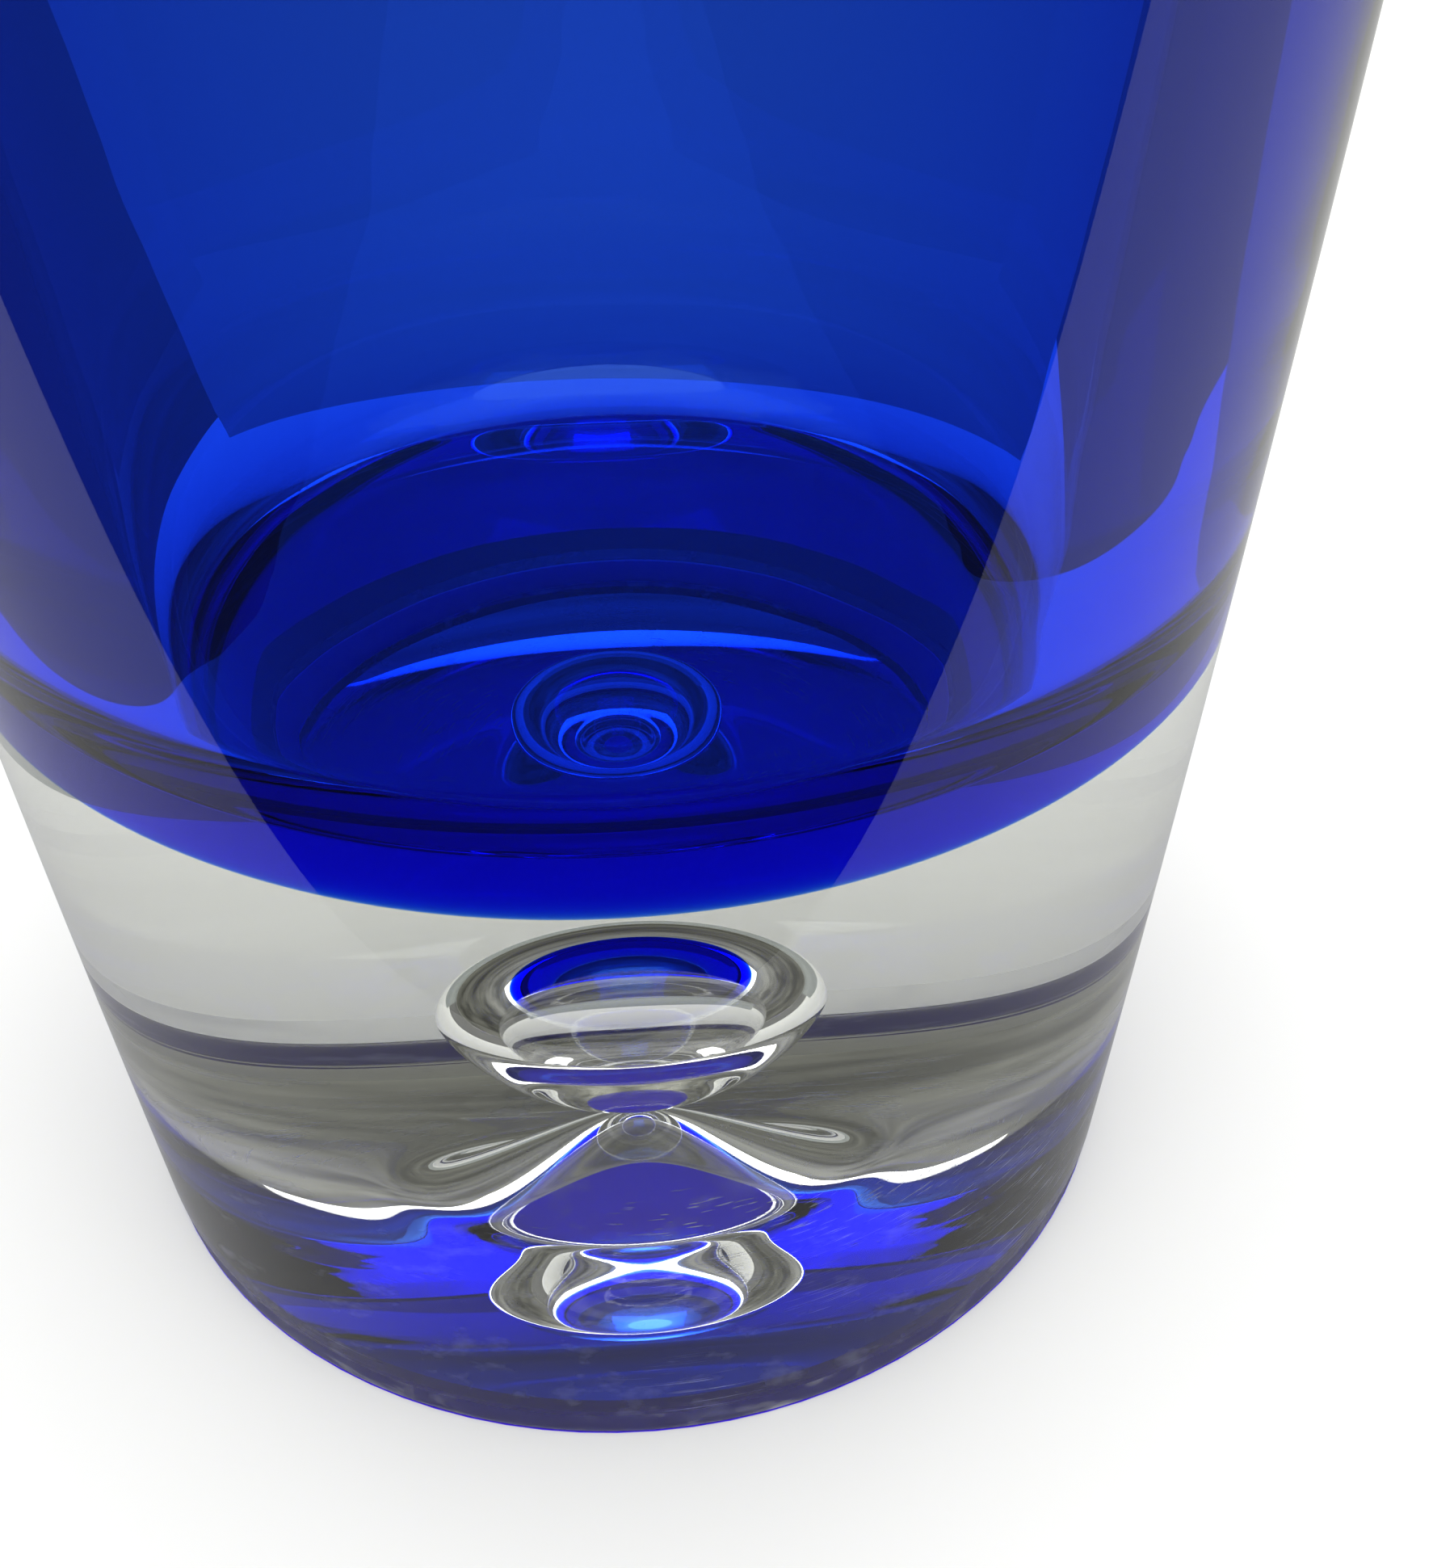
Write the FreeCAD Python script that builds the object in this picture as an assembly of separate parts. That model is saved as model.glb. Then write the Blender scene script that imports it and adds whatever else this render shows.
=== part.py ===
import FreeCAD, Part
import math
import os

# A heavy cased glass vase, turned about Z and standing on Z = 0, in millimetres.
# A thin cobalt cup is covered by two gathers of clear glass. The second gather traps an
# air bubble under the cup, and its underside is pushed up in a cone below the bubble.

# Outside of the vase: a foot with a steep arris, a gently bowed wall and a rounded lip
HEIGHT = 240.0
FOOT_R = 50.0
ARRIS_HEIGHT = 3.0
ARRIS_INSET = 0.3
WAIST_R = 54.5
WAIST_Z = 100.0
LIP_R = 56.4
LIP_THICKNESS = 6.0

# Underside: a shallow dish inside the foot ring, with a pushed-up cone in its middle
DISH_R = 44.0
DISH_RISE = 5.5
CONE_APEX_Z = 18.0
CONE_SLOPE = 0.95
CONE_NOSE = 3.0
CONE_BLEND = 1.5
CONE_END_R = 20.0
CONE_STEPS = 8

# Air bubble: an upright dome over a bowl that narrows to a small tip
BUBBLE_R = 11.3
BUBBLE_RING_Z = 26.5
BUBBLE_DOME_HEIGHT = 8.5
BUBBLE_BOWL_DEPTH = 10.6
DOME_POWER = 0.5
BOWL_POWER = 0.77
BUBBLE_STEPS = 10

# Cup-shaped surfaces: wall radius at the corner, floor height, floor's bowl radius, corner radius.
# The inner gather's floor passes through the bubble's ring.
CAVITY = {"wall_r": 40.0, "floor_z": 54.0, "bowl_r": 150.0, "corner_r": 11.0}
BLUE_OUTSIDE = {"wall_r": 43.0, "floor_z": 50.0, "bowl_r": 300.0, "corner_r": 15.5}
GATHER_BOWL_R = 320.0
GATHER_FLOOR_Z = BUBBLE_RING_Z - GATHER_BOWL_R + math.sqrt(GATHER_BOWL_R**2 - BUBBLE_R**2)
GATHER_OUTSIDE = {"wall_r": 47.0, "floor_z": GATHER_FLOOR_Z, "bowl_r": GATHER_BOWL_R, "corner_r": 24.0}

# The lip's thickness is shared by the three layers of glass
BLUE_LIP = 2.0
GATHER_LIP = 2.0

ABOVE_LIP = 5.0
FULL_TURN = 360.0
PARTS = "parts"


def point(r, z):
    return FreeCAD.Vector(r, 0.0, z)


def line(start, end):
    return Part.LineSegment(point(*start), point(*end)).toShape()


def arc(start, middle, end):
    return Part.Arc(point(*start), point(*middle), point(*end)).toShape()


def spline(points, start_direction, end_direction):
    """A smooth curve through the points, with its direction given at both ends."""
    curve = Part.BSplineCurve()
    curve.interpolate(
        Points=[point(*place) for place in points],
        InitialTangent=point(*start_direction),
        FinalTangent=point(*end_direction),
    )
    return curve.toShape()


def turned(edges):
    """The solid that a closed half outline sweeps in a full turn about Z."""
    outline = Part.Face(Part.Wire(edges))
    return outline.revolve(FreeCAD.Vector(0, 0, 0), FreeCAD.Vector(0, 0, 1), FULL_TURN)


def on_circle(centre_r, centre_z, radius, angle):
    return (centre_r + radius * math.cos(angle), centre_z + radius * math.sin(angle))


def cup_outline(cup, top_r, top_z):
    """A bowl-shaped floor, a round corner and a straight wall, from the axis to the wall's top."""
    corner_r = cup["corner_r"]
    bowl_r = cup["bowl_r"]
    bowl_centre_z = cup["floor_z"] + bowl_r
    lean = math.atan2(top_r - cup["wall_r"], top_z - cup["floor_z"] - corner_r)
    corner_centre_r = cup["wall_r"] - corner_r * math.cos(lean)
    corner_centre_z = bowl_centre_z - math.sqrt((bowl_r - corner_r) ** 2 - corner_centre_r**2)
    meeting = math.atan2(corner_centre_z - bowl_centre_z, corner_centre_r)
    corner = [
        on_circle(corner_centre_r, corner_centre_z, corner_r, angle)
        for angle in (meeting, (meeting - lean) / 2, -lean)
    ]
    floor_middle = on_circle(0, bowl_centre_z, bowl_r, (meeting - math.pi / 2) / 2)
    return [
        arc((0, cup["floor_z"]), floor_middle, corner[0]),
        arc(*corner),
        line(corner[2], (top_r, top_z)),
    ]


def cup_envelope(cup, lip_r):
    """A cup-shaped surface closed above the lip, to divide the glass into layers."""
    top_z = HEIGHT + ABOVE_LIP
    closing = [line((lip_r, top_z), (0, top_z)), line((0, top_z), (0, cup["floor_z"]))]
    return turned(cup_outline(cup, lip_r, top_z) + closing)


def underside_height(r):
    """The higher of the cone and the dish, with a soft change from one to the other."""
    cone = CONE_APEX_Z - CONE_SLOPE * math.hypot(r, CONE_NOSE)
    dish = DISH_RISE * (1 - (r / DISH_R) ** 2)
    return (cone + dish + math.hypot(cone - dish, CONE_BLEND)) / 2


def underside():
    """From the cone's top on the axis, down its flank and out over the dish to the foot ring."""
    radii = [CONE_END_R * step / CONE_STEPS for step in range(CONE_STEPS + 1)]
    cone = [(r, underside_height(r)) for r in radii]
    end_slope = -2 * DISH_RISE * CONE_END_R / DISH_R**2
    middle_r = (CONE_END_R + DISH_R) / 2
    return [
        spline(cone, (1, 0), (1, end_slope)),
        arc(cone[-1], (middle_r, underside_height(middle_r)), (DISH_R, 0)),
    ]


def whole_glass():
    """All the glass of the vase as one solid, before it is divided into layers."""
    lip_centre_z = HEIGHT - LIP_THICKNESS / 2
    lip_inner_r = LIP_R - LIP_THICKNESS
    wall_start = (FOOT_R, ARRIS_HEIGHT)
    wall_end = (LIP_R, lip_centre_z)
    inside = cup_outline(CAVITY, lip_inner_r, lip_centre_z)
    outside = underside() + [
        line((DISH_R, 0), (FOOT_R - ARRIS_INSET, 0)),
        line((FOOT_R - ARRIS_INSET, 0), wall_start),
        arc(wall_start, (WAIST_R, WAIST_Z), wall_end),
        arc(wall_end, (LIP_R - LIP_THICKNESS / 2, HEIGHT), (lip_inner_r, lip_centre_z)),
    ]
    axis = line((0, CAVITY["floor_z"]), (0, underside_height(0)))
    return turned(outside + inside[::-1] + [axis])


def bubble_half(height, power):
    """Half of the bubble's outline, from its widest ring to the axis. A negative height is the bowl."""
    points = []
    for step in range(BUBBLE_STEPS + 1):
        angle = math.pi / 2 * step / BUBBLE_STEPS
        rise = height * math.sin(angle) ** (2 * power)
        points.append((BUBBLE_R * math.cos(angle), BUBBLE_RING_Z + rise))
    points[-1] = (0, BUBBLE_RING_Z + height)
    return spline(points, (0, math.copysign(1, height)), (-1, 0))


def bubble():
    """The closed void between the two clear gathers."""
    dome = bubble_half(BUBBLE_DOME_HEIGHT, DOME_POWER)
    bowl = bubble_half(-BUBBLE_BOWL_DEPTH, BOWL_POWER)
    top_z = BUBBLE_RING_Z + BUBBLE_DOME_HEIGHT
    end_z = BUBBLE_RING_Z - BUBBLE_BOWL_DEPTH
    return turned([dome, line((0, top_z), (0, end_z)), bowl])


def main():
    glass = whole_glass()
    void = bubble()
    lip_inner_r = LIP_R - LIP_THICKNESS
    blue_envelope = cup_envelope(BLUE_OUTSIDE, lip_inner_r + BLUE_LIP)
    gather_envelope = cup_envelope(GATHER_OUTSIDE, lip_inner_r + BLUE_LIP + GATHER_LIP)
    layers = {
        "blue_cup": glass.common(blue_envelope),
        "inner_gather": glass.common(gather_envelope).cut(blue_envelope).cut(void),
        "outer_casing": glass.cut(gather_envelope).cut(void),
    }
    os.makedirs(PARTS, exist_ok=True)
    for name, layer in layers.items():
        solid = layer.Solids[0]
        print(name, len(layer.Solids), solid.isValid(), round(solid.Volume), solid.BoundBox)
        solid.exportStep(os.path.join(PARTS, name + ".step"))


main()
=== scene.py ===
import math

import bmesh
import bpy
from bpy.props import FloatProperty, FloatVectorProperty, IntProperty, PointerProperty
from mathutils import Matrix, Vector


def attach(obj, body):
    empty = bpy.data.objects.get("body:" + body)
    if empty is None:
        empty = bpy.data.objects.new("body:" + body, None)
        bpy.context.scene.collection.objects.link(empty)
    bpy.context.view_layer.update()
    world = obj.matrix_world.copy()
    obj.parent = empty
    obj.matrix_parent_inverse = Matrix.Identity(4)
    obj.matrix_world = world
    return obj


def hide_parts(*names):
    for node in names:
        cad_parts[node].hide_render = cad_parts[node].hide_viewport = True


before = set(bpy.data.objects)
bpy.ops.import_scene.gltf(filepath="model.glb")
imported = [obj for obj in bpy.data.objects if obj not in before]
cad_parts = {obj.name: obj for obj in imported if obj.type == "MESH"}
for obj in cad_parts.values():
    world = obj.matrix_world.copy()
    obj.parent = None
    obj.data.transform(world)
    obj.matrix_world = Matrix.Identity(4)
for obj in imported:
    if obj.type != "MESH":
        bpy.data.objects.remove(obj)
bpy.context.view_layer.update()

bl_info = {
    "name": "Cased glass vase",
    "version": (1, 0, 0),
    "blender": (4, 5, 0),
    "location": "3D View > Sidebar > Vase",
    "description": "Builds a heavy cased glass vase with a trapped bubble, and its studio stage",
    "category": "Add Mesh",
}

MERGE_DISTANCE = 1e-7
SHARP_ANGLE = math.radians(30)
QUARTER = math.radians(90)

# Steps along each stretch of the half outlines
FLOOR_STEPS = 24
CORNER_STEPS = 32
WALL_STEPS = 16
LIP_STEPS = 10
BUBBLE_STEPS = 40
OUTSIDE_STEPS = 48
EDGE_STEPS = 6
UNDERSIDE_STEPS = 88
SHADE_SEGMENTS = 96

# Surface finish: hand-made rings, ground glass, and the scratches and haze of the worn underside
RING_STRETCH = 12
GROUND_ROUGHNESS = 0.35
SCRATCHES_ACROSS = 4200
SCRATCHES_ALONG = 5
SCRATCH_PATCH_SCALE = 45.0
SCRATCH_STRENGTH = 0.9
HAZE_SCALE = 260.0
HAZE_STRENGTH = 0.4
PAPER_GRAIN_SCALE = 900.0

# The overhead light, and how often light may pass the layers of glass
KEY_HEIGHT = 1.6
KEY_WIDTH = 1.6
GLASS_BOUNCES = 32
GLOSSY_BOUNCES = 16


class VaseSizes(bpy.types.PropertyGroup):
    """Lengths of the vase in metres.

    A cup's four numbers are its wall radius, floor height, the floor's bowl radius and the corner radius.
    """

    height: FloatProperty(
        name="Height", description="Height of the lip's top", default=0.240, unit="LENGTH"
    )
    foot_radius: FloatProperty(
        name="Foot radius", description="Outer radius above the arris", default=0.050, unit="LENGTH"
    )
    arris_height: FloatProperty(
        name="Arris height", description="Height of the bevel at the foot", default=0.003, unit="LENGTH"
    )
    arris_inset: FloatProperty(
        name="Arris inset", description="Width of the bevel at the foot", default=0.0003, unit="LENGTH"
    )
    waist_radius: FloatProperty(
        name="Waist radius", description="Outer radius at the waist height", default=0.0545, unit="LENGTH"
    )
    waist_height: FloatProperty(
        name="Waist height", description="Height where the waist radius is", default=0.100, unit="LENGTH"
    )
    lip_radius: FloatProperty(
        name="Lip radius", description="Outer radius where the lip starts", default=0.0564, unit="LENGTH"
    )
    lip_thickness: FloatProperty(
        name="Lip thickness", description="Thickness of the rounded lip", default=0.006, unit="LENGTH"
    )
    blue_lip: FloatProperty(
        name="Blue lip", description="Width of the blue layer at the lip", default=0.002, unit="LENGTH"
    )
    gather_lip: FloatProperty(
        name="Gather lip", description="Width of the inner gather at the lip", default=0.002, unit="LENGTH"
    )
    cavity: FloatVectorProperty(
        name="Cavity", description="Cup shape of the hollow", size=4,
        default=(0.0400, 0.0540, 0.150, 0.0110), unit="LENGTH", precision=4,
    )
    blue_outside: FloatVectorProperty(
        name="Blue outside", description="Cup shape of the blue layer's outside", size=4,
        default=(0.0430, 0.0500, 0.300, 0.0155), unit="LENGTH", precision=4,
    )
    gather_outside: FloatVectorProperty(
        name="Gather outside", description="Cup shape of the inner gather's outside", size=4,
        default=(0.0470, 0.0263, 0.320, 0.0240), unit="LENGTH", precision=4,
    )
    dish_radius: FloatProperty(
        name="Dish radius", description="Inner radius of the flat foot ring", default=0.044, unit="LENGTH"
    )
    dish_rise: FloatProperty(
        name="Dish rise", description="Rise of the dished underside", default=0.0055, unit="LENGTH"
    )
    cone_apex: FloatProperty(
        name="Cone apex", description="Height of the pushed-up cone's apex", default=0.018, unit="LENGTH"
    )
    cone_slope: FloatProperty(
        name="Cone slope", description="Fall of the cone for its run", default=0.95
    )
    cone_nose: FloatProperty(
        name="Cone nose", description="Rounding of the cone's apex", default=0.003, unit="LENGTH"
    )
    cone_blend: FloatProperty(
        name="Cone blend", description="Rounding between cone and dish", default=0.0015, unit="LENGTH"
    )
    bubble_radius: FloatProperty(
        name="Bubble radius", description="Radius of the bubble's ring", default=0.0113, unit="LENGTH"
    )
    bubble_height: FloatProperty(
        name="Bubble height", description="Height of the bubble's ring", default=0.0265, unit="LENGTH"
    )
    bubble_dome: FloatProperty(
        name="Bubble dome", description="Rise of the dome over the ring", default=0.0085, unit="LENGTH"
    )
    bubble_bowl: FloatProperty(
        name="Bubble bowl", description="Depth of the bowl under the ring", default=0.0106, unit="LENGTH"
    )
    dome_power: FloatProperty(
        name="Dome power", description="Fullness of the dome, 0.5 for an ellipse", default=0.5
    )
    bowl_power: FloatProperty(
        name="Bowl power", description="Fullness of the bowl, larger for a narrower tip", default=0.77
    )
    layer_gap: FloatProperty(
        name="Layer gap", description="Gap that keeps two layers' faces apart", default=0.00002,
        unit="LENGTH", precision=5,
    )
    turn_steps: IntProperty(
        name="Turn steps", description="Steps of a full turn about the axis", default=256
    )


class VaseColours(bpy.types.PropertyGroup):
    """Colours and strengths of the vase's glass."""

    blue: FloatVectorProperty(
        name="Blue", description="What the blue glass lets through", size=3, subtype="COLOR",
        default=(0.0, 0.45, 0.972), min=0, max=1,
    )
    blue_density: FloatProperty(
        name="Blue density", description="Absorption of the blue glass for each metre", default=760
    )
    # The clear glass absorbs more than real glass. Its slight tint is real, and the rest of its grey is
    # painted shade that darkens the thick base.
    clear: FloatVectorProperty(
        name="Clear", description="What the clear glass lets through", size=3, subtype="COLOR",
        default=(0.9475, 0.950, 0.9425), min=0, max=1,
    )
    clear_density: FloatProperty(
        name="Clear density", description="Absorption of the clear glass for each metre", default=80
    )
    glass_ior: FloatProperty(
        name="Glass IOR", description="Index of refraction of the glass", default=1.5
    )
    dust: FloatVectorProperty(
        name="Dust", description="Colour of dust and scratches under the base", size=3, subtype="COLOR",
        default=(0.80, 0.82, 0.84), min=0, max=1,
    )


class VaseStage(bpy.types.PropertyGroup):
    """Floor, surroundings, light and camera."""

    floor_colour: FloatVectorProperty(
        name="Floor", description="Colour of the pale floor", size=3, subtype="COLOR",
        default=(0.86, 0.86, 0.84), min=0, max=1,
    )
    floor_size: FloatProperty(
        name="Floor size", description="Width of the floor", default=8.0, unit="LENGTH"
    )
    floor_gap: FloatProperty(
        name="Floor gap", description="Air between the foot and the floor", default=0.0001, unit="LENGTH"
    )
    # Painted shade: the sheet under the base is coloured dark blue in place of the blue light that falls
    # through the glass.
    painted_shade_colour: FloatVectorProperty(
        name="Shade", description="Colour of the shaded sheet under the base", size=3,
        subtype="COLOR", default=(0.08, 0.02, 0.95), min=0, max=1,
    )
    low_room: FloatVectorProperty(
        name="Low room", description="Grey of the room near the horizon", size=3, subtype="COLOR",
        default=(0.17, 0.17, 0.15), min=0, max=1,
    )
    high_room: FloatVectorProperty(
        name="High room", description="Grey of the room near the ceiling", size=3, subtype="COLOR",
        default=(0.40, 0.40, 0.38), min=0, max=1,
    )
    backdrop: FloatVectorProperty(
        name="Backdrop", description="Colour that the camera sees behind the floor", size=3,
        subtype="COLOR", default=(0.80, 0.80, 0.79), min=0, max=1,
    )
    near_edge: FloatProperty(
        name="Near edge", description="How far in front of the axis the white sheet ends",
        default=0.092, unit="LENGTH",
    )
    sheet_depth: FloatProperty(
        name="Sheet depth", description="From the sheet's near edge to its far edge",
        default=0.180, unit="LENGTH",
    )
    sheet_turn: FloatProperty(
        name="Sheet turn", description="Turn of the sheet about the vertical",
        default=math.radians(-7), subtype="ANGLE",
    )
    # Set close to the vase, so that the dark left card darkens the lower left of the glass.
    sheet_left: FloatProperty(
        name="Sheet left", description="How far left of the axis the sheet ends", default=0.115,
        unit="LENGTH",
    )
    sheet_right: FloatProperty(
        name="Sheet right", description="How far right of the axis the sheet ends", default=0.14,
        unit="LENGTH",
    )
    card_size: FloatProperty(
        name="Card size", description="Half width of the cards", default=1.6, unit="LENGTH"
    )
    card_lift: FloatProperty(
        name="Card lift", description="Height of the cards over the floor", default=0.0005,
        unit="LENGTH",
    )
    near_card: FloatVectorProperty(
        name="Near card", description="Colour of the dark table as reflections show it", size=3,
        subtype="COLOR", default=(0.01, 0.01, 0.01), min=0, max=1,
    )
    side_card: FloatVectorProperty(
        name="Side card", description="Colour of the sheet as reflections show it", size=3,
        subtype="COLOR", default=(0.42, 0.42, 0.42), min=0, max=1,
    )
    table_card: FloatVectorProperty(
        name="Table card", description="Colour beside the sheet, as only the glass shows it", size=3,
        subtype="COLOR", default=(0.14, 0.14, 0.14), min=0, max=1,
    )
    far_card: FloatVectorProperty(
        name="Far card", description="Colour behind the sheet, as only the glass shows it", size=3,
        subtype="COLOR", default=(0.30, 0.32, 0.32), min=0, max=1,
    )
    key_power: FloatProperty(
        name="Key power", description="Power of the overhead soft light", default=38, subtype="POWER"
    )
    camera_distance: FloatProperty(
        name="Camera distance", description="From the axis to the camera", default=0.12995, unit="LENGTH"
    )
    camera_height: FloatProperty(
        name="Camera height", description="Height of the camera", default=0.12975, unit="LENGTH"
    )
    camera_yaw: FloatProperty(
        name="Camera yaw", description="Turn to the right", default=math.radians(4.61), subtype="ANGLE"
    )
    camera_pitch: FloatProperty(
        name="Camera pitch", description="Tilt downwards", default=math.radians(36.96), subtype="ANGLE"
    )
    camera_roll: FloatProperty(
        name="Camera roll", description="Turn about the view", default=math.radians(-0.32), subtype="ANGLE"
    )
    camera_lens: FloatProperty(
        name="Camera lens", description="Focal length in millimetres", default=37.89
    )


def on_circle(centre_r, centre_z, radius, angle):
    """A point of a circle in the half outline's plane."""
    return (centre_r + radius * math.cos(angle), centre_z + radius * math.sin(angle))


def spread(start, end, steps):
    """Evenly spaced numbers from start to end."""
    return [start + (end - start) * step / steps for step in range(steps + 1)]


def cup_points(cup, top_r, top_z):
    """A bowl-shaped floor, a round corner and a straight wall, from the axis to the wall's top."""
    wall_r, floor_z, bowl_r, corner_r = cup
    bowl_z = floor_z + bowl_r
    lean = math.atan2(top_r - wall_r, top_z - floor_z - corner_r)
    corner_x = wall_r - corner_r * math.cos(lean)
    corner_z = bowl_z - math.sqrt((bowl_r - corner_r) ** 2 - corner_x**2)
    meeting = math.atan2(corner_z - bowl_z, corner_x)
    floor = [
        on_circle(0, bowl_z, bowl_r, angle) for angle in spread(-QUARTER, meeting, FLOOR_STEPS)
    ]
    corner = [
        on_circle(corner_x, corner_z, corner_r, angle)
        for angle in spread(meeting, -lean, CORNER_STEPS)
    ]
    last_r, last_z = corner[-1]
    wall = [
        (last_r + (top_r - last_r) * share, last_z + (top_z - last_z) * share)
        for share in spread(0, 1, WALL_STEPS)
    ]
    return [(0, floor_z)] + floor[1:] + corner[1:] + wall[1:]


def lip_angle(sizes, width):
    """Where on the rounded lip a layer ends that is so wide, counted from the hollow."""
    return math.acos((width - sizes.lip_thickness / 2) / (sizes.lip_thickness / 2))


def lip_points(sizes, start, end):
    """Part of the rounded lip, from one angle to another, counted from the outside."""
    radius = sizes.lip_thickness / 2
    return [
        on_circle(sizes.lip_radius - radius, sizes.height - radius, radius, angle)
        for angle in spread(start, end, LIP_STEPS)
    ]


def outside_radius(sizes, z):
    """A gentle bow through the foot, the waist and the lip."""
    foot_z, waist_z, lip_z = sizes.arris_height, sizes.waist_height, sizes.height - sizes.lip_thickness / 2
    return (
        sizes.foot_radius * (z - waist_z) * (z - lip_z) / ((foot_z - waist_z) * (foot_z - lip_z))
        + sizes.waist_radius * (z - foot_z) * (z - lip_z) / ((waist_z - foot_z) * (waist_z - lip_z))
        + sizes.lip_radius * (z - foot_z) * (z - waist_z) / ((lip_z - foot_z) * (lip_z - waist_z))
    )


def underside_height(sizes, r):
    """The higher of the cone and the dish, with a soft change from one to the other."""
    cone = sizes.cone_apex - sizes.cone_slope * math.hypot(r, sizes.cone_nose)
    dish = sizes.dish_rise * (1 - (r / sizes.dish_radius) ** 2)
    return (cone + dish + math.hypot(cone - dish, sizes.cone_blend)) / 2


def bubble_points(sizes, height, power):
    """Half of the bubble's outline, from its ring to the axis. A negative height is the bowl."""
    return [
        (
            sizes.bubble_radius * max(math.cos(angle), 0),
            sizes.bubble_height + height * math.sin(angle) ** (2 * power),
        )
        for angle in spread(0, QUARTER, BUBBLE_STEPS)
    ]


def blue_boundary(sizes):
    """The blue layer's outside, from the axis to the lip."""
    angle = lip_angle(sizes, sizes.blue_lip)
    return cup_points(sizes.blue_outside, *lip_points(sizes, angle, angle)[0])


def gather_boundary(sizes):
    """The inner gather's outside, from the bubble's ring to the lip."""
    angle = lip_angle(sizes, sizes.blue_lip + sizes.gather_lip)
    points = cup_points(sizes.gather_outside, *lip_points(sizes, angle, angle)[0])
    ring = (sizes.bubble_radius, sizes.bubble_height)
    return [ring] + [place for place in points if place[0] > sizes.bubble_radius + sizes.blue_lip]


def set_in(sizes, points):
    """Moves a fused stretch in by a hair, so that its faces aren't coincident with the next layer's."""
    middle = [(r - sizes.layer_gap, z + sizes.layer_gap) for r, z in points[1:-1]]
    return points[:1] + middle + points[-1:]


def outside_points(sizes):
    """The outer wall from the lip down to the arris."""
    top_z = sizes.height - sizes.lip_thickness / 2
    return [(outside_radius(sizes, z), z) for z in spread(top_z, sizes.arris_height, OUTSIDE_STEPS)]


def foot_points(sizes):
    """The steep arris and the flat foot ring with a softened edge between them."""
    edge_r = sizes.foot_radius - sizes.arris_inset
    soft = sizes.arris_inset
    edge = [on_circle(edge_r - soft, soft, soft, angle) for angle in spread(0, -QUARTER, EDGE_STEPS)]
    return [(sizes.foot_radius, sizes.arris_height)] + edge + [(sizes.dish_radius, 0)]


def underside_points(sizes):
    """The dish and the pushed-up cone, from the foot ring to the axis."""
    radii = spread(sizes.dish_radius, 0, UNDERSIDE_STEPS)
    return [(sizes.dish_radius, 0)] + [(r, underside_height(sizes, r)) for r in radii[1:]]


def turn(mesh, points, steps, marks):
    """Turns a stretch of the half outline a quarter way about the axis, and marks its faces."""
    verts = [mesh.verts.new((r, 0, z)) for r, z in points]
    edges = [mesh.edges.new(pair) for pair in zip(verts, verts[1:])]
    before = set(mesh.faces)
    bmesh.ops.spin(
        mesh, geom=verts + edges, cent=(0, 0, 0), axis=(0, 0, 1), dvec=(0, 0, 0),
        angle=QUARTER, steps=steps, use_merge=False, use_normal_flip=False, use_duplicate=False,
    )
    for name, value in marks.items():
        layer = mesh.faces.layers.float[name]
        for face in set(mesh.faces) - before:
            face[layer] = value


def repeat(mesh, angle):
    """Adds a copy of everything, turned about the axis."""
    copied = bmesh.ops.duplicate(mesh, geom=mesh.verts[:] + mesh.edges[:] + mesh.faces[:])["geom"]
    verts = [part for part in copied if isinstance(part, bmesh.types.BMVert)]
    bmesh.ops.rotate(mesh, verts=verts, cent=(0, 0, 0), matrix=Matrix.Rotation(angle, 3, "Z"))


def turned_piece(name, stretches, steps):
    """A closed piece made of turned stretches, each with its points and face marks."""
    mesh = bmesh.new()
    for mark in ("fused", "ground", "worn"):
        mesh.faces.layers.float.new(mark)
    for points, marks in stretches:
        turn(mesh, points, steps // 4, marks)
    repeat(mesh, QUARTER)
    repeat(mesh, 2 * QUARTER)
    bmesh.ops.remove_doubles(mesh, verts=mesh.verts, dist=MERGE_DISTANCE)
    bmesh.ops.dissolve_degenerate(mesh, dist=MERGE_DISTANCE, edges=mesh.edges)
    bmesh.ops.recalc_face_normals(mesh, faces=mesh.faces)
    open_edges = [edge for edge in mesh.edges if not edge.is_manifold]
    if open_edges:
        raise RuntimeError(f"{name} has {len(open_edges)} open edges")
    for face in mesh.faces:
        face.smooth = True
    data = bpy.data.meshes.new(name)
    mesh.to_mesh(data)
    mesh.free()
    data.set_sharp_from_angle(angle=SHARP_ANGLE)
    piece = bpy.data.objects.new(name, data)
    bpy.context.scene.collection.objects.link(piece)
    return piece


def install(piece, node, material):
    """Gives a piece its material, and puts it in the place of its CAD node."""
    piece.data.materials.append(material)
    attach(piece, "root")
    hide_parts(node)


def add(tree, kind, values=None, **settings):
    """A shader node with its settings, and its inputs' numbers or links."""
    node = tree.nodes.new(kind)
    for name, value in settings.items():
        setattr(node, name, value)
    for name, value in (values or {}).items():
        if isinstance(value, bpy.types.NodeSocket):
            tree.links.new(value, node.inputs[name])
        else:
            node.inputs[name].default_value = value
    return node


def new_material(name):
    """An empty node material."""
    material = bpy.data.materials.new(name)
    material.use_nodes = True
    material.node_tree.nodes.clear()
    return material, material.node_tree


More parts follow.
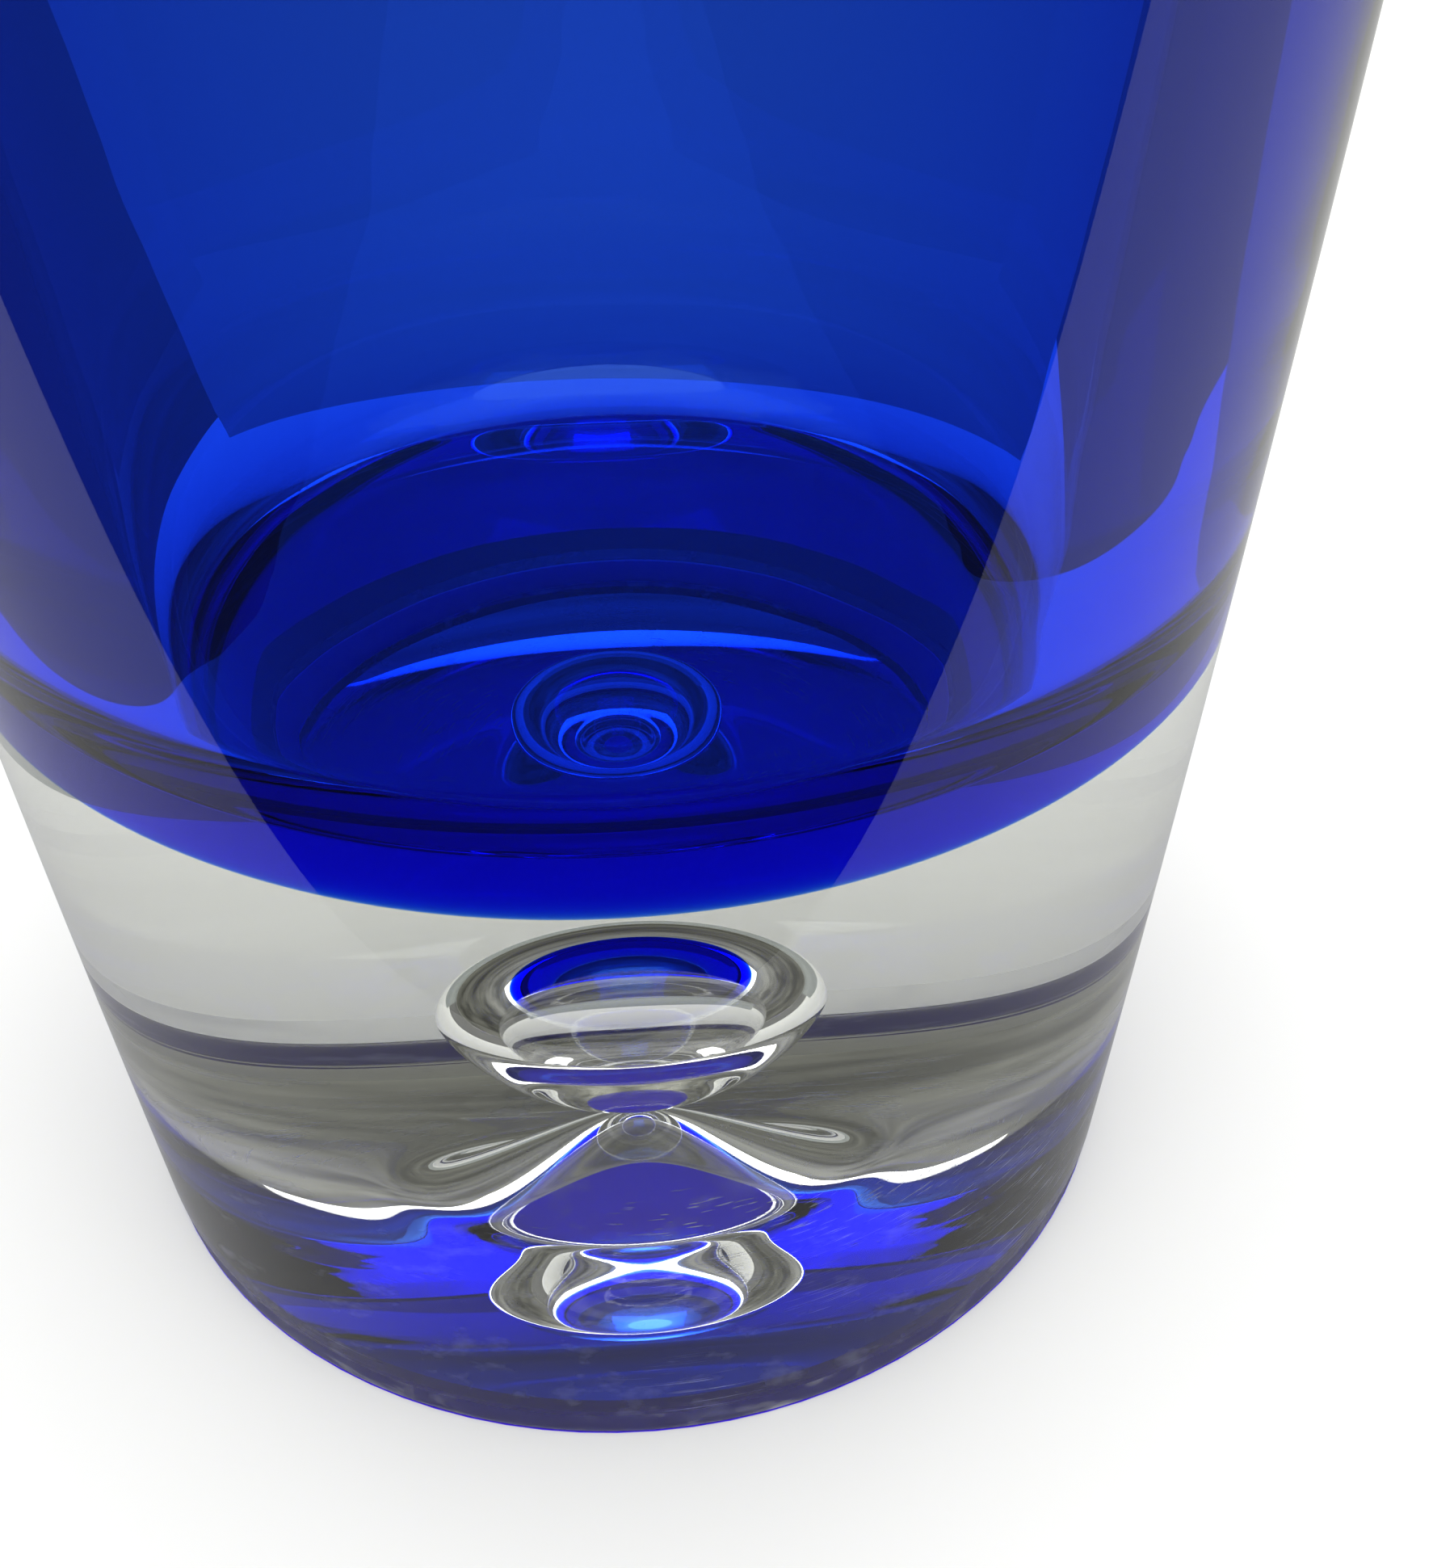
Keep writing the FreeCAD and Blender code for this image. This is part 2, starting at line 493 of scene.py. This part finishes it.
def waves(tree, place, detail):
    """A bump of slow waves, as in glass that was shaped by hand."""
    slow = add(tree, "ShaderNodeTexNoise", {"Vector": place, "Scale": detail["scale"], "Detail": 1.0})
    stretched = add(
        tree, "ShaderNodeMapping",
        {"Vector": place, "Scale": (RING_STRETCH, RING_STRETCH, detail["rings"])},
    )
    rings = add(tree, "ShaderNodeTexNoise", {"Vector": stretched.outputs[0], "Scale": 1.0, "Detail": 0.0})
    mixed = add(
        tree, "ShaderNodeMath", {0: slow.outputs["Fac"], 1: rings.outputs["Fac"]}, operation="ADD"
    )
    return add(
        tree, "ShaderNodeBump",
        {"Height": mixed.outputs[0], "Strength": 1.0, "Distance": detail["depth"]},
    )


def glass_material(name, colour, density, ior, detail, dust=None):
    """Glass where a face meets air and nothing where it is fused, with absorption inside."""
    material, tree = new_material(name)
    place = add(tree, "ShaderNodeTexCoord").outputs["Object"]
    bump = waves(tree, place, detail)
    matt = 0.0
    if dust:
        ground = add(tree, "ShaderNodeAttribute", attribute_name="ground").outputs["Fac"]
        matt = times(tree, ground, GROUND_ROUGHNESS)
    clear = add(
        tree, "ShaderNodeBsdfGlass",
        {"Color": (1, 1, 1, 1), "Roughness": matt, "IOR": ior, "Normal": bump.outputs[0]},
    )
    shine = clear.outputs[0]
    if dust:
        shine = dusty(tree, place, shine, dust)
    fused = add(tree, "ShaderNodeAttribute", attribute_name="fused")
    inside = add(tree, "ShaderNodeBsdfTransparent", {"Color": (1, 1, 1, 1)})
    surface = add(
        tree, "ShaderNodeMixShader", {0: fused.outputs["Fac"], 1: shine, 2: inside.outputs[0]}
    )
    volume = add(
        tree, "ShaderNodeVolumeAbsorption", {"Color": (*colour, 1), "Density": density}
    )
    add(
        tree, "ShaderNodeOutputMaterial",
        {"Surface": surface.outputs[0], "Volume": volume.outputs[0]},
    )
    return material


def polar(tree, place, across, along):
    """Coordinates that run across and along circles about the axis."""
    flat = add(tree, "ShaderNodeMapping", {"Vector": place, "Scale": (1, 1, 0)}).outputs[0]
    radius = add(tree, "ShaderNodeVectorMath", {0: flat}, operation="LENGTH").outputs["Value"]
    parts = add(tree, "ShaderNodeSeparateXYZ", {0: flat}).outputs
    turn_by = add(tree, "ShaderNodeMath", {0: parts["Y"], 1: parts["X"]}, operation="ARCTAN2")
    out = add(tree, "ShaderNodeMath", {0: radius, 1: across}, operation="MULTIPLY")
    round_it = add(tree, "ShaderNodeMath", {0: turn_by.outputs[0], 1: along}, operation="MULTIPLY")
    return add(tree, "ShaderNodeCombineXYZ", {0: out.outputs[0], 1: round_it.outputs[0]}).outputs[0]


def peaks(tree, vector, scale, detail, low, high):
    """The high parts of a noise, from 0 to 1."""
    noise = add(tree, "ShaderNodeTexNoise", {"Vector": vector, "Scale": scale, "Detail": detail})
    return add(
        tree, "ShaderNodeMapRange",
        {"Value": noise.outputs["Fac"], "From Min": low, "From Max": high},
    ).outputs[0]


def times(tree, first, second):
    """The product of two sockets, or of a socket and a number."""
    return add(tree, "ShaderNodeMath", {0: first, 1: second}, operation="MULTIPLY").outputs[0]


def dusty(tree, place, shine, colour):
    """Curved scratches and a dust haze on the faces marked as worn."""
    worn = add(tree, "ShaderNodeAttribute", attribute_name="worn").outputs["Fac"]
    circles = polar(tree, place, SCRATCHES_ACROSS, SCRATCHES_ALONG)
    arcs = peaks(tree, circles, scale=1.0, detail=1.0, low=0.62, high=0.72)
    patches = peaks(tree, place, SCRATCH_PATCH_SCALE, detail=2.0, low=0.5, high=0.65)
    haze = peaks(tree, place, HAZE_SCALE, detail=8.0, low=0.55, high=0.9)
    scratches = times(tree, times(tree, arcs, patches), SCRATCH_STRENGTH)
    dust = times(tree, haze, HAZE_STRENGTH)
    total = add(tree, "ShaderNodeMath", {0: scratches, 1: dust}, operation="ADD")
    white = add(tree, "ShaderNodeBsdfDiffuse", {"Color": (*colour, 1)})
    share = times(tree, total.outputs[0], worn)
    return add(tree, "ShaderNodeMixShader", {0: share, 1: shine, 2: white.outputs[0]}).outputs[0]


class VASE_OT_blue_cup(bpy.types.Operator):
    """Builds the thin cobalt cup"""

    bl_idname = "vase.blue_cup"
    bl_label = "Blue cup"

    def execute(self, context):
        sizes, colours = context.scene.vase_sizes, context.scene.vase_colours
        wall_top = (sizes.lip_radius - sizes.lip_thickness, sizes.height - sizes.lip_thickness / 2)
        piece = turned_piece(
            "glass_blue_cup",
            [
                (set_in(sizes, blue_boundary(sizes)), {"fused": 1.0}),
                (lip_points(sizes, lip_angle(sizes, sizes.blue_lip), math.pi), {}),
                (cup_points(sizes.cavity, *wall_top), {}),
            ],
            sizes.turn_steps,
        )
        material = glass_material(
            "cobalt_glass", colours.blue, colours.blue_density, colours.glass_ior,
            {"scale": 30.0, "rings": 160.0, "depth": 0.00005},
        )
        install(piece, "blue_cup", material)
        return {"FINISHED"}


class VASE_OT_inner_gather(bpy.types.Operator):
    """Builds the clear gather over the blue cup, with the upper half of the bubble"""

    bl_idname = "vase.inner_gather"
    bl_label = "Inner gather"

    def execute(self, context):
        sizes, colours = context.scene.vase_sizes, context.scene.vase_colours
        outer_end = lip_angle(sizes, sizes.blue_lip + sizes.gather_lip)
        inner_end = lip_angle(sizes, sizes.blue_lip)
        piece = turned_piece(
            "glass_inner_gather",
            [
                (set_in(sizes, gather_boundary(sizes)), {"fused": 1.0}),
                (lip_points(sizes, outer_end, inner_end), {}),
                (blue_boundary(sizes), {"fused": 1.0}),
                (bubble_points(sizes, sizes.bubble_dome, sizes.dome_power), {}),
            ],
            sizes.turn_steps,
        )
        material = glass_material(
            "clear_gather_glass", colours.clear, colours.clear_density, colours.glass_ior,
            {"scale": 30.0, "rings": 60.0, "depth": 0.00002},
        )
        install(piece, "inner_gather", material)
        return {"FINISHED"}


class VASE_OT_outer_casing(bpy.types.Operator):
    """Builds the outer casing with the foot, the pushed-up underside and the bubble's bowl"""

    bl_idname = "vase.outer_casing"
    bl_label = "Outer casing"

    def execute(self, context):
        sizes, colours = context.scene.vase_sizes, context.scene.vase_colours
        inner_end = lip_angle(sizes, sizes.blue_lip + sizes.gather_lip)
        piece = turned_piece(
            "glass_outer_casing",
            [
                (gather_boundary(sizes), {"fused": 1.0}),
                (lip_points(sizes, 0, inner_end), {}),
                (outside_points(sizes), {}),
                (foot_points(sizes), {"ground": 1.0, "worn": 1.0}),
                (underside_points(sizes), {"worn": 1.0}),
                (bubble_points(sizes, -sizes.bubble_bowl, sizes.bowl_power), {}),
            ],
            sizes.turn_steps,
        )
        material = glass_material(
            "clear_casing_glass", colours.clear, colours.clear_density, colours.glass_ior,
            {"scale": 24.0, "rings": 60.0, "depth": 0.00004}, dust=colours.dust,
        )
        install(piece, "outer_casing", material)
        return {"FINISHED"}


def paper_material(name, colour):
    """Matt paper with a fine grain."""
    material, tree = new_material(name)
    place = add(tree, "ShaderNodeTexCoord").outputs["Object"]
    grain = add(
        tree, "ShaderNodeTexNoise", {"Vector": place, "Scale": PAPER_GRAIN_SCALE, "Detail": 4.0}
    )
    bump = add(
        tree, "ShaderNodeBump", {"Height": grain.outputs["Fac"], "Strength": 0.15, "Distance": 0.0001}
    )
    paint = add(
        tree, "ShaderNodeBsdfPrincipled",
        {"Base Color": (*colour, 1), "Roughness": 0.9, "Normal": bump.outputs[0]},
    )
    add(tree, "ShaderNodeOutputMaterial", {"Surface": paint.outputs[0]})
    return material


def add_key_light(stage):
    """A soft square light straight above, which shines down."""
    lamp = bpy.data.lights.new("key_light", "AREA")
    lamp.shape = "SQUARE"
    lamp.size = KEY_WIDTH
    lamp.energy = stage.key_power
    light = bpy.data.objects.new("key_light", lamp)
    bpy.context.scene.collection.objects.link(light)
    light.location.z = KEY_HEIGHT
    light.visible_camera = False


def add_camera(stage):
    """The camera in front of the vase, turned, tilted and rolled from level."""
    yaw, pitch, roll = stage.camera_yaw, stage.camera_pitch, stage.camera_roll
    forward = Vector((
        math.sin(yaw) * math.cos(pitch), math.cos(yaw) * math.cos(pitch), -math.sin(pitch),
    ))
    level = Vector((math.cos(yaw), -math.sin(yaw), 0))
    upright = level.cross(forward)
    right = math.cos(roll) * level + math.sin(roll) * upright
    up = math.cos(roll) * upright - math.sin(roll) * level
    lens = bpy.data.cameras.new("camera")
    lens.lens = stage.camera_lens
    lens.sensor_width = 36
    lens.clip_start = 0.001
    camera = bpy.data.objects.new("camera", lens)
    bpy.context.scene.collection.objects.link(camera)
    turn_to = Matrix((right, up, -forward)).transposed().to_4x4()
    camera.matrix_world = Matrix.Translation((0, -stage.camera_distance, stage.camera_height)) @ turn_to
    bpy.context.scene.camera = camera


def add_card(name, stage, colour, corners, seen):
    """A flat card on the floor, turned with the sheet and seen only by one kind of ray."""
    data = bpy.data.meshes.new(name)
    mesh = bmesh.new()
    verts = [mesh.verts.new((x, y, stage.card_lift)) for x, y in corners]
    bmesh.ops.contextual_create(mesh, geom=verts)
    bmesh.ops.recalc_face_normals(mesh, faces=mesh.faces)
    mesh.to_mesh(data)
    mesh.free()
    card = bpy.data.objects.new(name, data)
    card.rotation_euler.z = stage.sheet_turn
    bpy.context.scene.collection.objects.link(card)
    data.materials.append(paper_material(name + "_paper", colour))
    for kind in ("camera", "diffuse", "glossy", "transmission", "volume_scatter", "shadow"):
        setattr(card, "visible_" + kind, kind == seen)


def add_cards(stage):
    """Cards for what lies beyond the white sheet: in front, behind and on both sides of it."""
    far, near = stage.sheet_depth - stage.near_edge, -stage.near_edge
    left, right, size = -stage.sheet_left, stage.sheet_right, stage.card_size
    add_card(
        "near_card", stage, stage.near_card,
        [(-size, near), (size, near), (size, -size), (-size, -size)], "glossy",
    )
    add_card(
        "side_card", stage, stage.side_card,
        [(-size, near), (size, near), (size, size), (-size, size)], "glossy",
    )
    add_card(
        "far_card", stage, stage.far_card,
        [(-far, far), (far, far), (size, size), (-size, size)], "transmission",
    )
    add_card(
        "left_card", stage, stage.table_card,
        [(left, -size), (left, -left), (-size, size), (-size, -size)], "transmission",
    )
    add_card(
        "right_card", stage, stage.table_card,
        [(right, -size), (right, right), (size, size), (size, -size)], "transmission",
    )


def add_floor(stage):
    """The pale floor that the vase stands on, a hair below the foot."""
    data = bpy.data.meshes.new("floor")
    mesh = bmesh.new()
    bmesh.ops.create_grid(mesh, x_segments=1, y_segments=1, size=stage.floor_size / 2)
    mesh.to_mesh(data)
    mesh.free()
    floor = bpy.data.objects.new("floor", data)
    floor.location.z = -stage.floor_gap
    bpy.context.scene.collection.objects.link(floor)
    data.materials.append(paper_material("pale_paper", stage.floor_colour))


def add_shade(stage, radius):
    """The part of the sheet under the base, painted dark blue as painted shade and painted blue light, in
    place of the light that only the blue glass lets reach it.
    """
    data = bpy.data.meshes.new("shade")
    mesh = bmesh.new()
    bmesh.ops.create_circle(
        mesh, cap_ends=True, segments=SHADE_SEGMENTS, radius=radius - 3 * stage.floor_gap
    )
    mesh.to_mesh(data)
    mesh.free()
    shade = bpy.data.objects.new("shade", data)
    shade.location.z = -stage.floor_gap / 2
    bpy.context.scene.collection.objects.link(shade)
    data.materials.append(paper_material("painted_shade_paper", stage.painted_shade_colour))


def room(stage):
    """A room that is dim near the horizon and lighter above, with a pale backdrop for the camera."""
    world = bpy.data.worlds.new("room")
    world.use_nodes = True
    tree = world.node_tree
    tree.nodes.clear()
    direction = add(tree, "ShaderNodeTexCoord").outputs["Generated"]
    parts = add(tree, "ShaderNodeSeparateXYZ", {0: direction}).outputs
    height = parts["Z"]
    front = add(
        tree, "ShaderNodeMapRange",
        {"Value": parts["Y"], "From Min": -0.1, "From Max": -0.7, "To Min": 1.0, "To Max": 2.6},
    ).outputs[0]
    rise = add(
        tree, "ShaderNodeMapRange", {"Value": height, "From Min": 0.35, "From Max": 0.8},
        interpolation_type="SMOOTHSTEP",
    ).outputs[0]
    grey = add(
        tree, "ShaderNodeMix", {0: rise, 6: (*stage.low_room, 1), 7: (*stage.high_room, 1)},
        data_type="RGBA",
    ).outputs[2]
    stretched = add(tree, "ShaderNodeMapping", {"Vector": direction, "Scale": (1, 1, 4)}).outputs[0]
    patches = add(
        tree, "ShaderNodeTexNoise", {"Vector": stretched, "Scale": 2.5, "Detail": 3.0}
    ).outputs["Fac"]
    uneven = add(
        tree, "ShaderNodeMapRange",
        {"Value": patches, "From Min": 0.35, "From Max": 0.65, "To Min": 0.55, "To Max": 1.45},
    ).outputs[0]
    seen = add(tree, "ShaderNodeLightPath").outputs["Is Camera Ray"]
    share = times(tree, uneven, front)
    patchy = add(tree, "ShaderNodeVectorMath", {0: grey, 1: share}, operation="MULTIPLY").outputs[0]
    colour = add(
        tree, "ShaderNodeMix", {0: seen, 6: patchy, 7: (*stage.backdrop, 1)}, data_type="RGBA"
    ).outputs[2]
    light = add(tree, "ShaderNodeBackground", {"Color": colour}).outputs[0]
    add(tree, "ShaderNodeOutputWorld", {"Surface": light})
    return world


class VASE_OT_stage(bpy.types.Operator):
    """Sets up the pale floor, the soft light, the surroundings and the camera"""

    bl_idname = "vase.stage"
    bl_label = "Stage"

    def execute(self, context):
        scene = context.scene
        stage = scene.vase_stage
        add_floor(stage)
        add_cards(stage)
        add_key_light(stage)
        # Painted blue shade under the base.
        add_shade(stage, scene.vase_sizes.foot_radius)
        scene.world = room(stage)
        add_camera(stage)
        scene.view_settings.view_transform = "Standard"
        scene.cycles.max_bounces = GLASS_BOUNCES
        scene.cycles.transmission_bounces = GLASS_BOUNCES
        scene.cycles.transparent_max_bounces = GLASS_BOUNCES
        scene.cycles.glossy_bounces = GLOSSY_BOUNCES
        return {"FINISHED"}


class VASE_PT_panel(bpy.types.Panel):
    """Sizes, colours and building steps of the vase"""

    bl_idname = "VASE_PT_panel"
    bl_label = "Cased glass vase"
    bl_space_type = "VIEW_3D"
    bl_region_type = "UI"
    bl_category = "Vase"

    def draw(self, context):
        for group in (context.scene.vase_sizes, context.scene.vase_colours, context.scene.vase_stage):
            column = self.layout.column()
            for name in group.__annotations__:
                column.prop(group, name)
        for operator in OPERATORS:
            self.layout.operator(operator.bl_idname)


OPERATORS = (VASE_OT_blue_cup, VASE_OT_inner_gather, VASE_OT_outer_casing, VASE_OT_stage)
GROUPS = {"vase_sizes": VaseSizes, "vase_colours": VaseColours, "vase_stage": VaseStage}


def register():
    for group in (*GROUPS.values(), *OPERATORS, VASE_PT_panel):
        bpy.utils.register_class(group)
    for name, group in GROUPS.items():
        setattr(bpy.types.Scene, name, PointerProperty(type=group))


def unregister():
    for name in GROUPS:
        delattr(bpy.types.Scene, name)
    for group in (VASE_PT_panel, *reversed(OPERATORS), *reversed(GROUPS.values())):
        bpy.utils.unregister_class(group)


def main():
    """Builds the vase and its stage."""
    register()
    bpy.ops.vase.blue_cup()
    bpy.ops.vase.inner_gather()
    bpy.ops.vase.outer_casing()
    bpy.ops.vase.stage()


if __name__ == "__main__":
    main()
